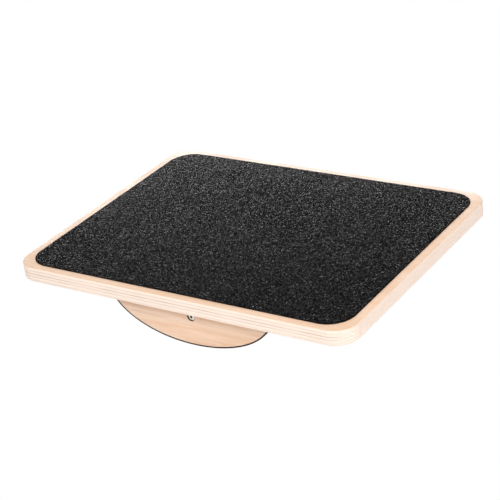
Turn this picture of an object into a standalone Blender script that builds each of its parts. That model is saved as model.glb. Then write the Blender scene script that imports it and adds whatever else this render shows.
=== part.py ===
# Balance board: a rounded plywood deck with a grip sheet on top. It stands on two plywood
# rockers with rubber treads, each half an ellipse, tied together under the deck by a cross rail.
#
# Frame: metres, +Z up, +X along the deck's length. The origin is on the floor, under the
# middle of the deck, and the deck is level.

import math

import bmesh
import bpy

# Deck and grip sheet
BOARD_HEIGHT = 0.0790
DECK_LENGTH = 0.4445
DECK_WIDTH = 0.3429
DECK_THICKNESS = 0.0180
DECK_CORNER_RADIUS = 0.0270
DECK_EDGE_ROUND = 0.0008
GRIP_END_MARGIN = 0.0101
GRIP_SIDE_MARGIN = 0.0089
GRIP_THICKNESS = 0.0007
GRIP_CORNER_RADIUS = 0.0300

# Rockers and their rubber treads. An odd number of facets puts a flat one at the bottom.
ROCKER_THICKNESS = 0.0180
ROCKER_FACE_OFFSET = 0.1400    # from the board's middle to a rocker's outer face
ROCKER_EDGE_ROUND = 0.0006
TREAD_HALF_LENGTH = 0.1100     # the tread's outer curve is half an ellipse, this long each way
TREAD_THICKNESS = 0.0015
CURVE_FACETS = 27

# Cross rail, standing on edge between the rockers
RAIL_THICKNESS = 0.0240
RAIL_DEPTH = 0.0500
RAIL_EDGE_ROUND = 0.0015

# Countersunk screws, down through the deck into the rockers and the rail
DECK_SCREW_LENGTH = 0.0380
DECK_SCREW_SHANK_RADIUS = 0.0020
DECK_SCREW_HEAD_RADIUS = 0.0040
DECK_SCREW_SINK = 0.0005       # from the deck's top down to the head
DECK_SCREW_POSITIONS = (-0.085, -0.028, 0.028, 0.085)
RAIL_TOP_SCREW_OFFSET = 0.0600

# Domed screws, sunk into each rocker's outer face and through it into the end of the rail
RAIL_SCREW_HEIGHT = 0.0356
RAIL_SCREW_SIDESTEP = 0.0010   # off the rail's middle
RAIL_SCREW_SINK = 0.0010       # from the rocker's face in to the top of the head
RAIL_SCREW_LENGTH = 0.0460
RAIL_SCREW_SHANK_RADIUS = 0.0022
RAIL_SCREW_HEAD_RADIUS = 0.0040
RAIL_SCREW_HEAD_HEIGHT = 0.0022
COUNTERBORE_RADIUS = 0.0048

SCREW_TIP_LENGTH = 0.0040
SCREW_STEPS = 16
RECESS_SPAN = 0.0034
RECESS_SLOT = 0.0010
RECESS_DEPTH = 0.0014
HEAD_DOME_RISE = 0.0010
HEAD_DOME_STEPS = 4
HEAD_RIM = 0.0004

# Dowels between the deck and each rocker
DOWEL_RADIUS = 0.0040
DOWEL_LENGTH = 0.0300
DOWEL_IN_DECK = 0.0100
DOWEL_CHAMFER = 0.0008
DOWEL_POSITIONS = (-0.0565, 0.0565)

GAP = 0.0003                   # between pieces that touch
TIP_RADIUS = 0.0002
CORNER_SEGMENTS = 8
QUARTER_TURN = math.radians(90)
SMOOTH_ANGLE = math.radians(35)
BEVEL_ANGLE = math.radians(40)
MERGE_DISTANCE = 0.00001

# Heights and places that follow from the sizes above
DECK_TOP = BOARD_HEIGHT - GRIP_THICKNESS - GAP
DECK_BOTTOM = DECK_TOP - DECK_THICKNESS
ROCKER_TOP = DECK_BOTTOM - GAP
ROCKER_MIDDLE = ROCKER_FACE_OFFSET - ROCKER_THICKNESS / 2


def clear_scene():
    for old in list(bpy.data.objects):
        bpy.data.objects.remove(old, do_unlink=True)


def make_collection(name):
    collection = bpy.data.collections.new(name)
    bpy.context.scene.collection.children.link(collection)
    return collection


def make_material(name, color, roughness, metallic=0.0):
    material = bpy.data.materials.new(name)
    material.use_nodes = True
    shader = material.node_tree.nodes["Principled BSDF"]
    shader.inputs["Base Color"].default_value = (*color, 1.0)
    shader.inputs["Roughness"].default_value = roughness
    shader.inputs["Metallic"].default_value = metallic
    material.diffuse_color = (*color, 1.0)
    return material


def place(name, mesh, collection, parent, location=(0.0, 0.0, 0.0), tilt=0.0):
    piece = bpy.data.objects.new(name, mesh)
    piece.location = location
    piece.rotation_euler.x = tilt
    piece.parent = parent
    collection.objects.link(piece)
    return piece


def hide_as_cutter(piece):
    piece.hide_render = True
    piece.display_type = "WIRE"


def finished_mesh(piece, name, material):
    # The piece's mesh with its modifiers in it; the piece itself is removed.
    bpy.context.view_layer.update()
    evaluated = piece.evaluated_get(bpy.context.evaluated_depsgraph_get())
    mesh = bpy.data.meshes.new_from_object(evaluated)
    mesh.name = name
    mesh.materials.clear()
    mesh.materials.append(material)
    bpy.data.objects.remove(piece, do_unlink=True)
    return mesh


def block_mesh(name, size, material, corner_radius=0.0):
    # A box of this size about its middle, its four upright edges rounded to the corner radius.
    shape = bmesh.new()
    bmesh.ops.create_cube(shape, size=1.0)
    bmesh.ops.scale(shape, vec=size, verts=shape.verts)
    if corner_radius:
        upright = [e for e in shape.edges
                   if abs(e.verts[0].co.z - e.verts[1].co.z) > size[2] / 2]
        bmesh.ops.bevel(shape, geom=upright, offset=corner_radius, offset_type="OFFSET",
                        segments=CORNER_SEGMENTS, profile=0.5, affect="EDGES")
    mesh = bpy.data.meshes.new(name)
    shape.to_mesh(mesh)
    shape.free()
    mesh.materials.append(material)
    return mesh


def outline_mesh(name, points, thickness, material):
    # A flat outline with thickness, as a welded mesh. It lies in its own XY plane.
    curve = bpy.data.curves.new(name + "_outline", "CURVE")
    curve.dimensions = "2D"
    curve.fill_mode = "BOTH"
    curve.extrude = thickness / 2
    spline = curve.splines.new("POLY")
    spline.points.add(len(points) - 1)
    for point, (x, y) in zip(spline.points, points):
        point.co = (x, y, 0.0, 1.0)
    spline.use_cyclic_u = True
    drawn = bpy.data.objects.new(name + "_outline", curve)
    bpy.context.scene.collection.objects.link(drawn)
    mesh = finished_mesh(drawn, name, material)
    bpy.data.curves.remove(curve)
    shape = bmesh.new()
    shape.from_mesh(mesh)
    bmesh.ops.remove_doubles(shape, verts=shape.verts, dist=MERGE_DISTANCE)
    shape.to_mesh(mesh)
    shape.free()
    return mesh


def turned_piece(name, profile, collection):
    # The profile is a list of (radius, height), from the top of the axis down the outer side.
    mesh = bpy.data.meshes.new(name)
    edges = [(i, i + 1) for i in range(len(profile) - 1)]
    mesh.from_pydata([(radius, 0.0, height) for radius, height in profile], edges, [])
    piece = bpy.data.objects.new(name, mesh)
    collection.objects.link(piece)
    turn = piece.modifiers.new("Turn", "SCREW")
    turn.axis = "Z"
    turn.steps = SCREW_STEPS
    turn.render_steps = SCREW_STEPS
    turn.use_merge_vertices = True
    turn.merge_threshold = MERGE_DISTANCE
    return piece


def round_edges(piece, width, segments=2):
    bevel = piece.modifiers.new("Rounded edges", "BEVEL")
    bevel.width = width
    bevel.segments = segments
    bevel.limit_method = "ANGLE"
    bevel.angle_limit = BEVEL_ANGLE


def cut_bores(piece, bores):
    boolean = piece.modifiers.new("Fastener bores", "BOOLEAN")
    boolean.operation = "DIFFERENCE"
    boolean.operand_type = "COLLECTION"
    boolean.collection = bores
    boolean.solver = "EXACT"


def shade_round(mesh):
    mesh.shade_smooth()
    mesh.set_sharp_from_angle(angle=SMOOTH_ANGLE)


def rocker_curve(inset):
    # Points of the lower half ellipse from -X to +X, moved in from the tread's outer curve.
    # Its depth is such that the bottom facet of the outer curve lies on the floor.
    half_step = math.pi / 2 / CURVE_FACETS
    depth = ROCKER_TOP / math.cos(half_step)
    points = []
    for i in range(CURVE_FACETS + 1):
        angle = half_step * (2 * i - CURVE_FACETS)
        across = math.sin(angle)
        down = math.cos(angle)
        slant = math.hypot(depth * across, TREAD_HALF_LENGTH * down)
        x = TREAD_HALF_LENGTH * across - inset * depth * across / slant
        z = ROCKER_TOP - depth * down + inset * TREAD_HALF_LENGTH * down / slant
        points.append((x, z))
    return points


def deck_screw_profile(extra=0.0):
    shank = DECK_SCREW_SHANK_RADIUS + extra
    head = DECK_SCREW_HEAD_RADIUS + extra
    neck_height = -(DECK_SCREW_HEAD_RADIUS - DECK_SCREW_SHANK_RADIUS)
    tip_height = -DECK_SCREW_LENGTH - extra
    return [
        (0.0, 0.0),
        (head, 0.0),
        (head, -HEAD_RIM),
        (shank, neck_height - HEAD_RIM),
        (shank, tip_height + SCREW_TIP_LENGTH),
        (TIP_RADIUS, tip_height),
        (0.0, tip_height),
    ]


def rail_screw_profile():
    profile = []
    for i in range(HEAD_DOME_STEPS + 1):
        angle = QUARTER_TURN * i / HEAD_DOME_STEPS
        radius = RAIL_SCREW_HEAD_RADIUS * math.sin(angle)
        profile.append((radius, HEAD_DOME_RISE * (math.cos(angle) - 1)))
    profile += [
        (RAIL_SCREW_HEAD_RADIUS, -RAIL_SCREW_HEAD_HEIGHT),
        (RAIL_SCREW_SHANK_RADIUS, -RAIL_SCREW_HEAD_HEIGHT),
        (RAIL_SCREW_SHANK_RADIUS, SCREW_TIP_LENGTH - RAIL_SCREW_LENGTH),
        (TIP_RADIUS, -RAIL_SCREW_LENGTH),
        (0.0, -RAIL_SCREW_LENGTH),
    ]
    return profile


def dowel_profile(extra=0.0):
    half = DOWEL_LENGTH / 2 + extra
    radius = DOWEL_RADIUS + extra
    return [
        (0.0, half),
        (radius - DOWEL_CHAMFER, half),
        (radius, half - DOWEL_CHAMFER),
        (radius, DOWEL_CHAMFER - half),
        (radius - DOWEL_CHAMFER, -half),
        (0.0, -half),
    ]


def cross_mesh(name):
    # A small post with an arm drawn out of each of its four sides.
    shape = bmesh.new()
    bmesh.ops.create_cube(shape, size=1.0)
    bmesh.ops.scale(shape, vec=(RECESS_SLOT, RECESS_SLOT, 2 * RECESS_DEPTH), verts=shape.verts)
    shape.normal_update()
    sides = [f for f in shape.faces if abs(f.normal.z) < 0.5]
    arms = bmesh.ops.extrude_discrete_faces(shape, faces=sides)["faces"]
    for arm in arms:
        arm_length = (RECESS_SPAN - RECESS_SLOT) / 2
        bmesh.ops.translate(shape, vec=arm.normal * arm_length, verts=arm.verts)
    mesh = bpy.data.meshes.new(name)
    shape.to_mesh(mesh)
    shape.free()
    return mesh


def screw_mesh(name, profile, material, parts, cutters):
    # A turned screw with a cross recess sunk into the top of its head.
    cutter = place(name + "_recess", cross_mesh(name + "_recess"), cutters, None)
    hide_as_cutter(cutter)
    screw = turned_piece(name, profile, parts)
    recess = screw.modifiers.new("Cross recess", "BOOLEAN")
    recess.operation = "DIFFERENCE"
    recess.object = cutter
    recess.solver = "EXACT"
    mesh = finished_mesh(screw, name, material)
    bpy.data.objects.remove(cutter, do_unlink=True)
    shade_round(mesh)
    return mesh


def dowel_mesh(material, parts):
    mesh = finished_mesh(turned_piece("dowel", dowel_profile(), parts), "dowel", material)
    shade_round(mesh)
    return mesh


def add_bore(name, profile, bores, parent, location, tilt=0.0):
    bore = turned_piece(name, profile, bores)
    bore.parent = parent
    bore.location = location
    bore.rotation_euler.x = tilt
    hide_as_cutter(bore)


def build_deck(parts, board, bores, material):
    mesh = block_mesh("deck", (DECK_LENGTH, DECK_WIDTH, DECK_THICKNESS), material, DECK_CORNER_RADIUS)
    middle = (DECK_TOP + DECK_BOTTOM) / 2
    deck = place("deck", mesh, parts, board, (0.0, 0.0, middle))
    round_edges(deck, DECK_EDGE_ROUND)
    cut_bores(deck, bores)


def build_grip_sheet(parts, board, material):
    length = DECK_LENGTH - 2 * GRIP_END_MARGIN
    width = DECK_WIDTH - 2 * GRIP_SIDE_MARGIN
    mesh = block_mesh("grip_sheet", (length, width, GRIP_THICKNESS), material, GRIP_CORNER_RADIUS)
    place("grip_sheet", mesh, parts, board, (0.0, 0.0, BOARD_HEIGHT - GRIP_THICKNESS / 2))


def build_cross_rail(parts, board, bores, material):
    length = 2 * (ROCKER_FACE_OFFSET - ROCKER_THICKNESS - GAP)
    mesh = block_mesh("cross_rail", (RAIL_THICKNESS, length, RAIL_DEPTH), material)
    rail = place("cross_rail", mesh, parts, board, (0.0, 0.0, ROCKER_TOP - RAIL_DEPTH / 2))
    round_edges(rail, RAIL_EDGE_ROUND)
    cut_bores(rail, bores)


def build_rocker(side, parts, turn, bores, wood, rubber):
    # The outlines are drawn flat and stood upright, so a rocker's own Y is the board's height.
    place_at = (0.0, -ROCKER_MIDDLE, 0.0)

    wood_outline = rocker_curve(TREAD_THICKNESS + GAP)
    mesh = outline_mesh("rocker_" + side, wood_outline, ROCKER_THICKNESS, wood)
    rocker = place("rocker_" + side, mesh, parts, turn, place_at, QUARTER_TURN)
    round_edges(rocker, ROCKER_EDGE_ROUND, segments=1)
    cut_bores(rocker, bores)

    tread_outline = rocker_curve(0.0) + rocker_curve(TREAD_THICKNESS)[::-1]
    strip = outline_mesh("tread_" + side, tread_outline, ROCKER_THICKNESS, rubber)
    place("tread_" + side, strip, parts, turn, place_at, QUARTER_TURN)


def add_rail_screw(side, parts, turn, bores, mesh):
    # The head lies in a flat-bottomed pocket, and its own top faces out of the rocker.
    head_face = RAIL_SCREW_SINK - ROCKER_FACE_OFFSET
    spot = (RAIL_SCREW_SIDESTEP, head_face, RAIL_SCREW_HEIGHT)
    pocket_mouth = RAIL_SCREW_SINK + GAP
    pocket_floor = -RAIL_SCREW_HEAD_HEIGHT - GAP
    bore = [
        (0.0, pocket_mouth),
        (COUNTERBORE_RADIUS, pocket_mouth),
        (COUNTERBORE_RADIUS, pocket_floor),
        (RAIL_SCREW_SHANK_RADIUS + GAP, pocket_floor),
        (RAIL_SCREW_SHANK_RADIUS + GAP, -RAIL_SCREW_LENGTH - GAP),
        (0.0, -RAIL_SCREW_LENGTH - GAP),
    ]
    place("rail_screw_" + side, mesh, parts, turn, spot, QUARTER_TURN)
    add_bore("rail_bore_" + side, bore, bores, turn, spot, QUARTER_TURN)


def add_deck_screws(side, parts, turn, bores, mesh):
    # Four go down into the rocker, and the last one into this half of the rail.
    head_top = DECK_TOP - DECK_SCREW_SINK
    spots = [(x, -ROCKER_MIDDLE, head_top) for x in DECK_SCREW_POSITIONS]
    spots.append((0.0, -RAIL_TOP_SCREW_OFFSET, head_top))
    pocket_mouth = DECK_SCREW_SINK + GAP
    bore = [(0.0, pocket_mouth), (DECK_SCREW_HEAD_RADIUS + GAP, pocket_mouth)]
    bore += deck_screw_profile(GAP)[2:]
    for number, spot in enumerate(spots, start=1):
        label = side + "_" + str(number)
        place("deck_screw_" + label, mesh, parts, turn, spot)
        add_bore("deck_bore_" + label, bore, bores, turn, spot)


def add_dowels(side, parts, turn, bores, mesh):
    middle = DECK_BOTTOM + DOWEL_IN_DECK - DOWEL_LENGTH / 2
    for number, x in enumerate(DOWEL_POSITIONS, start=1):
        label = side + "_" + str(number)
        spot = (x, -ROCKER_MIDDLE, middle)
        place("dowel_" + label, mesh, parts, turn, spot)
        add_bore("dowel_bore_" + label, dowel_profile(GAP), bores, turn, spot)


def main():
    clear_scene()
    parts = make_collection("balance_board")
    cutters = make_collection("cutters")
    bores = bpy.data.collections.new("fastener_bores")
    cutters.children.link(bores)

    deck_wood = make_material("deck_plywood", (0.84, 0.64, 0.47), 0.45)
    rocker_wood = make_material("rocker_plywood", (0.80, 0.58, 0.40), 0.45)
    rail_wood = make_material("rail_hardwood", (0.78, 0.57, 0.38), 0.50)
    dowel_wood = make_material("dowel_beech", (0.72, 0.50, 0.32), 0.60)
    grip = make_material("grip_sheet_black", (0.03, 0.03, 0.03), 0.85)
    rubber = make_material("tread_rubber", (0.06, 0.04, 0.035), 0.70)
    steel = make_material("screw_steel", (0.72, 0.72, 0.74), 0.30, 1.0)

    board = bpy.data.objects.new("board_frame", None)
    parts.objects.link(board)
    build_deck(parts, board, bores, deck_wood)
    build_grip_sheet(parts, board, grip)
    build_cross_rail(parts, board, bores, rail_wood)

    meshes = {
        "deck_screw": screw_mesh("deck_screw", deck_screw_profile(), steel, parts, cutters),
        "rail_screw": screw_mesh("rail_screw", rail_screw_profile(), steel, parts, cutters),
        "dowel": dowel_mesh(dowel_wood, parts),
    }

    # The rear set is the front set turned half round about the board's middle.
    for side, half_turn in (("front", 0.0), ("rear", 2 * QUARTER_TURN)):
        turn = bpy.data.objects.new("rocker_set_" + side, None)
        turn.rotation_euler.z = half_turn
        turn.parent = board
        parts.objects.link(turn)
        build_rocker(side, parts, turn, bores, rocker_wood, rubber)
        add_rail_screw(side, parts, turn, bores, meshes["rail_screw"])
        add_deck_screws(side, parts, turn, bores, meshes["deck_screw"])
        add_dowels(side, parts, turn, bores, meshes["dowel"])

    bpy.context.view_layer.update()


main()
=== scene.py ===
import math
import random

import bmesh
import bpy
from mathutils import Matrix, Vector
from mathutils.geometry import delaunay_2d_cdt


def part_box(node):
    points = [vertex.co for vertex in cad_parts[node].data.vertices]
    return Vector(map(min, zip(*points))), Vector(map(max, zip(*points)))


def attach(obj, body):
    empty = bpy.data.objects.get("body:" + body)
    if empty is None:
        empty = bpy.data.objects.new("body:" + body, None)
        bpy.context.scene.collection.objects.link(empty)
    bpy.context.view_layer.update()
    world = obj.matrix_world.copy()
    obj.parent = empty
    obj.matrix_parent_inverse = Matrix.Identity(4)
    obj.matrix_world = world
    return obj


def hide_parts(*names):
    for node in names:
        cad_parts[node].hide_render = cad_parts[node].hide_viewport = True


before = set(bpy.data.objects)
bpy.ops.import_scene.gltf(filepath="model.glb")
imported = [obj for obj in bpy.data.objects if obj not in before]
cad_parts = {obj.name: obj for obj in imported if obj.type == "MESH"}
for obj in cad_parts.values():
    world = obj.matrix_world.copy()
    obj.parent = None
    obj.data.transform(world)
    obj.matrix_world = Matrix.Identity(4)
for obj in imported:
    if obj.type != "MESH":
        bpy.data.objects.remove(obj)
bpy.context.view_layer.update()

sceneCollection = bpy.context.scene.collection
print("frame loaded:", len(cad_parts), "nodes")


# ---------- camera, light and floor

cameraSetup = {
    "place": (0.9447, -1.3093, 0.8681),    # out in front of the right-hand end, looking down
    "forward": (-0.52500, 0.72163, -0.45125),
    "roll": -7.59,                         # degrees; the deck runs downhill to the right in the frame
    "lens": 111.1,
}

lightSetup = {
    "world": 0.50,
    "soft": {
        "key": {"place": (0.25, -1.60, 1.35), "size": (0.60, 0.60), "watts": 26.0},
        "side": {"place": (1.75, -0.20, 0.95), "size": (0.90, 0.70), "watts": 18.5},
        "fill": {"place": (-1.30, -1.40, 1.60), "size": (1.20, 1.20), "watts": 5.0},
        "sheen": {"place": (-0.775, 1.34, 0.40), "size": (1.60, 0.42), "watts": 16.5, "glossOnly": True},
    },
    "target": (0.0, 0.0, 0.06),
    "floorSize": 12.0,
    "floorBounce": 0.80,
}


def makeCamera(setup):
    data = bpy.data.cameras.new("mainCamera")
    data.lens = setup["lens"]
    data.sensor_width = 36.0
    camera = bpy.data.objects.new("mainCamera", data)
    forward = Vector(setup["forward"]).normalized()
    level = forward.to_track_quat("-Z", "Y").to_matrix()
    roll = Matrix.Rotation(math.radians(setup["roll"]), 3, "Z")
    camera.matrix_world = Matrix.Translation(setup["place"]) @ (level @ roll).to_4x4()
    sceneCollection.objects.link(camera)
    bpy.context.scene.camera = camera
    return camera


def makeSoftLight(name, setup, target):
    data = bpy.data.lights.new(name, "AREA")
    data.shape = "RECTANGLE"
    data.size, data.size_y = setup["size"]
    data.energy = setup["watts"]
    light = bpy.data.objects.new(name, data)
    place = Vector(setup["place"])
    light.location = place
    light.rotation_euler = (target - place).to_track_quat("-Z", "Y").to_euler()
    light.visible_camera = False
    light.visible_diffuse = not setup.get("glossOnly", False)
    sceneCollection.objects.link(light)
    return light


def cameraSwitch(tree, place, light, seen):
    # one value where the camera looks straight at the surface, another for its light on the object
    path = tree.nodes.new("ShaderNodeLightPath")
    path.location = place
    choose = tree.nodes.new("ShaderNodeMapRange")
    choose.location = (place[0] + 200, place[1])
    choose.inputs["To Min"].default_value = light
    choose.inputs["To Max"].default_value = seen
    tree.links.new(path.outputs["Is Camera Ray"], choose.inputs["Value"])
    return choose.outputs["Result"]


def makeWorld(strength):
    world = bpy.data.worlds.new("paleStudio")
    world.use_nodes = True
    tree = world.node_tree
    background = tree.nodes["Background"]
    background.inputs["Color"].default_value = (1.0, 1.0, 1.0, 1.0)
    tree.links.new(cameraSwitch(tree, (-500, 0), strength, 1.0), background.inputs["Strength"])
    bpy.context.scene.world = world


def makeFloor(size, bounce):
    bpy.ops.mesh.primitive_plane_add(size=size)
    floor = bpy.context.active_object
    floor.name = "studioFloor"
    material = bpy.data.materials.new("studioFloorWhite")
    material.use_nodes = True
    tree = material.node_tree
    shader = tree.nodes["Principled BSDF"]
    shader.inputs["Roughness"].default_value = 1.0
    shader.inputs["Specular IOR Level"].default_value = 0.0
    shader.inputs["Emission Color"].default_value = (1.0, 1.0, 1.0, 1.0)
    tree.links.new(cameraSwitch(tree, (-600, 200), bounce, 0.0), shader.inputs["Base Color"])
    tree.links.new(cameraSwitch(tree, (-600, -200), 0.0, 1.0), shader.inputs["Emission Strength"])
    floor.data.materials.append(material)
    return floor


makeCamera(cameraSetup)
makeWorld(lightSetup["world"])
for lightName, lightLook in lightSetup["soft"].items():
    makeSoftLight(lightName + "Softbox", lightLook, Vector(lightSetup["target"]))
makeFloor(lightSetup["floorSize"], lightSetup["floorBounce"])
bpy.context.scene.view_settings.view_transform = "Standard"
print("studio ready")


# ---------- node helpers

def addNode(tree, kind, place, **inputs):
    node = tree.nodes.new(kind)
    node.location = place
    for name, value in inputs.items():
        setattr(node, name, value)
    return node


def mathNode(tree, place, operation, first, second=None, clamp=False):
    # first and second are sockets or plain numbers
    node = addNode(tree, "ShaderNodeMath", place, operation=operation, use_clamp=clamp)
    for socket, value in zip(node.inputs, (first, second)):
        if value is None:
            continue
        if isinstance(value, (int, float)):
            socket.default_value = value
        else:
            tree.links.new(value, socket)
    return node.outputs[0]


def rangeNode(tree, place, value, low, high, outLow=0.0, outHigh=1.0, smooth=True):
    node = addNode(tree, "ShaderNodeMapRange", place)
    node.interpolation_type = "SMOOTHSTEP" if smooth else "LINEAR"
    tree.links.new(value, node.inputs["Value"])
    for name, number in (("From Min", low), ("From Max", high), ("To Min", outLow), ("To Max", outHigh)):
        node.inputs[name].default_value = number
    return node.outputs["Result"]


def mixColour(tree, place, factor, first, second, blend="MIX"):
    node = addNode(tree, "ShaderNodeMix", place, data_type="RGBA", blend_type=blend)
    pairs = ((node.inputs["Factor"], factor), (node.inputs[6], first), (node.inputs[7], second))
    for socket, value in pairs:
        if isinstance(value, (int, float)):
            socket.default_value = value
        elif isinstance(value, tuple):
            socket.default_value = (*value, 1.0)
        else:
            tree.links.new(value, socket)
    return node.outputs[2]


def noiseNode(tree, place, vector, scale, detail=2.0, roughness=0.5, waver=0.0):
    node = addNode(tree, "ShaderNodeTexNoise", place)
    node.inputs["Scale"].default_value = scale
    node.inputs["Distortion"].default_value = waver
    node.inputs["Detail"].default_value = detail
    node.inputs["Roughness"].default_value = roughness
    tree.links.new(vector, node.inputs["Vector"])
    return node.outputs["Fac"]


def newShaderGroup(name, inputs, outputs):
    tree = bpy.data.node_groups.new(name, "ShaderNodeTree")
    for label, kind, value in inputs:
        socket = tree.interface.new_socket(label, in_out="INPUT", socket_type=kind)
        socket.default_value = value
    for label, kind in outputs:
        tree.interface.new_socket(label, in_out="OUTPUT", socket_type=kind)
    entry = addNode(tree, "NodeGroupInput", (-1400, 0))
    leave = addNode(tree, "NodeGroupOutput", (700, 0))
    return tree, entry.outputs, leave.inputs


def placeGroup(tree, group, place, **values):
    # values are sockets, numbers or vectors, by input name with spaces as underscores
    node = addNode(tree, "ShaderNodeGroup", place)
    node.node_tree = group
    for name, value in values.items():
        socket = node.inputs[name.replace("_", " ")]
        if hasattr(value, "links"):
            tree.links.new(value, socket)
        else:
            socket.default_value = value
    return node.outputs


# ---------- shared surface effects

def makeGrainGroup():
    # long soft figure, finer streaks and short dark pores, all drawn out along the stretch
    tree, inn, out = newShaderGroup(
        "birchGrain",
        [("Vector", "NodeSocketVector", (0, 0, 0)), ("Stretch", "NodeSocketVector", (0.05, 1, 1))],
        [("Figure", "NodeSocketFloat"), ("Streak", "NodeSocketFloat"), ("Pore", "NodeSocketFloat"),
         ("Height", "NodeSocketFloat")],
    )
    drawn = addNode(tree, "ShaderNodeVectorMath", (-1150, 0), operation="MULTIPLY")
    tree.links.new(inn["Vector"], drawn.inputs[0])
    tree.links.new(inn["Stretch"], drawn.inputs[1])
    along = drawn.outputs[0]
    figure = noiseNode(tree, (-900, 250), along, 46.0, 4.0, 0.60, 1.1)
    streak = noiseNode(tree, (-900, 0), along, 260.0, 4.0, 0.62, 0.5)
    pore = noiseNode(tree, (-900, -250), along, 2300.0, 1.0, 0.5)
    poreMask = rangeNode(tree, (-600, -250), pore, 0.60, 0.74)
    figureMask = rangeNode(tree, (-600, 250), figure, 0.28, 0.72)
    streakMask = rangeNode(tree, (-600, 0), streak, 0.30, 0.70)
    lift = mathNode(tree, (-300, -100), "MULTIPLY", streakMask, 0.6)
    sunk = mathNode(tree, (-300, -300), "MULTIPLY", poreMask, -0.8)
    height = mathNode(tree, (-50, -200), "ADD", lift, sunk)
    results = {"Figure": figureMask, "Streak": streakMask, "Pore": poreMask, "Height": height}
    for name, socket in results.items():
        tree.links.new(socket, out[name])
    return tree


plySheet = {
    "joints": (0.175, 0.250, 0.405, 0.470, 0.605, 0.680, 0.830, 0.905),   # glue lines, as shares of the depth
    "tones": (0.02, 0.50, 0.10, 1.00, 0.08, 0.55, 0.00, 0.40, 0.12),       # how dark each ply looks end on
    "glueHalf": 0.008,
}


def makePlyGroup(sheet):
    # the layers of a plywood edge by depth below the show face, 0 to 1; crosswise plies are the even ones
    tree, inn, out = newShaderGroup(
        "plyLayers",
        [("Depth", "NodeSocketFloat", 0.0), ("Vector", "NodeSocketVector", (0, 0, 0))],
        [("Crosswise", "NodeSocketFloat"), ("Tone", "NodeSocketFloat"), ("Glue", "NodeSocketFloat")],
    )
    sway = noiseNode(tree, (-1150, -300), inn["Vector"], 7.0, 2.0, 0.5)
    shift = rangeNode(tree, (-950, -300), sway, 0.25, 0.75, -0.011, 0.011)
    depth = mathNode(tree, (-750, -100), "ADD", inn["Depth"], shift)
    bands = addNode(tree, "ShaderNodeValToRGB", (-550, 0))
    ramp = bands.color_ramp
    ramp.interpolation = "LINEAR"
    half = sheet["glueHalf"]
    stops = [(0.0, (0.0, sheet["tones"][0], 0.0))]
    for k, joint in enumerate(sheet["joints"]):
        before, after = sheet["tones"][k], sheet["tones"][k + 1]
        stops.append((joint - half, (float(k % 2), before, 0.0)))
        stops.append((joint, (0.5, (before + after) / 2, 1.0)))
        stops.append((joint + half, (float((k + 1) % 2), after, 0.0)))
    ramp.elements[0].position = 0.0
    ramp.elements[1].position = 1.0
    ramp.elements[0].color = (*stops[0][1], 1.0)
    ramp.elements[1].color = (0.0, sheet["tones"][-1], 0.0, 1.0)
    for position, colour in stops[1:]:
        ramp.elements.new(position).color = (*colour, 1.0)
    tree.links.new(depth, bands.inputs["Fac"])
    parts = addNode(tree, "ShaderNodeSeparateColor", (-250, 0))
    tree.links.new(bands.outputs["Color"], parts.inputs[0])
    fade = noiseNode(tree, (-550, -300), inn["Vector"], 26.0, 2.0, 0.5)
    faded = rangeNode(tree, (-250, -300), fade, 0.25, 0.75, 0.55, 1.25)
    tone = mathNode(tree, (0, -100), "MULTIPLY", parts.outputs[1], faded)
    tree.links.new(parts.outputs[0], out["Crosswise"])
    tree.links.new(tone, out["Tone"])
    tree.links.new(parts.outputs[2], out["Glue"])
    return tree


def makeMottleGroup():
    # slow blotches and fine specks that break up any even finish
    tree, inn, out = newShaderGroup(
        "finishMottle",
        [("Vector", "NodeSocketVector", (0, 0, 0)), ("Blotch Scale", "NodeSocketFloat", 25.0),
         ("Speck Scale", "NodeSocketFloat", 1500.0)],
        [("Blotch", "NodeSocketFloat"), ("Speck", "NodeSocketFloat")],
    )
    for label, place, detail in (("Blotch", (-600, 150), 3.0), ("Speck", (-600, -150), 1.0)):
        node = addNode(tree, "ShaderNodeTexNoise", place)
        node.inputs["Detail"].default_value = detail
        tree.links.new(inn["Vector"], node.inputs["Vector"])
        tree.links.new(inn[label + " Scale"], node.inputs["Scale"])
        spread = rangeNode(tree, (-300, place[1]), node.outputs["Fac"], 0.3, 0.7)
        tree.links.new(spread, out[label])
    return tree


grainGroup = makeGrainGroup()
plyGroup = makePlyGroup(plySheet)
mottleGroup = makeMottleGroup()


# ---------- materials

def startMaterial(name, roughness, metallic=0.0, coat=0.0, specular=0.5):
    material = bpy.data.materials.new(name)
    material.use_nodes = True
    tree = material.node_tree
    shader = tree.nodes["Principled BSDF"]
    shader.inputs["Roughness"].default_value = roughness
    shader.inputs["Metallic"].default_value = metallic
    shader.inputs["Coat Weight"].default_value = coat
    shader.inputs["Specular IOR Level"].default_value = specular
    place = addNode(tree, "ShaderNodeTexCoord", (-2200, 0))
    return material, tree, shader, place.outputs


def addBump(tree, shader, height, strength, distance):
    bump = addNode(tree, "ShaderNodeBump", (-250, -500))
    bump.inputs["Strength"].default_value = strength
    bump.inputs["Distance"].default_value = distance
    tree.links.new(height, bump.inputs["Height"])
    tree.links.new(bump.outputs["Normal"], shader.inputs["Normal"])


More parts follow.
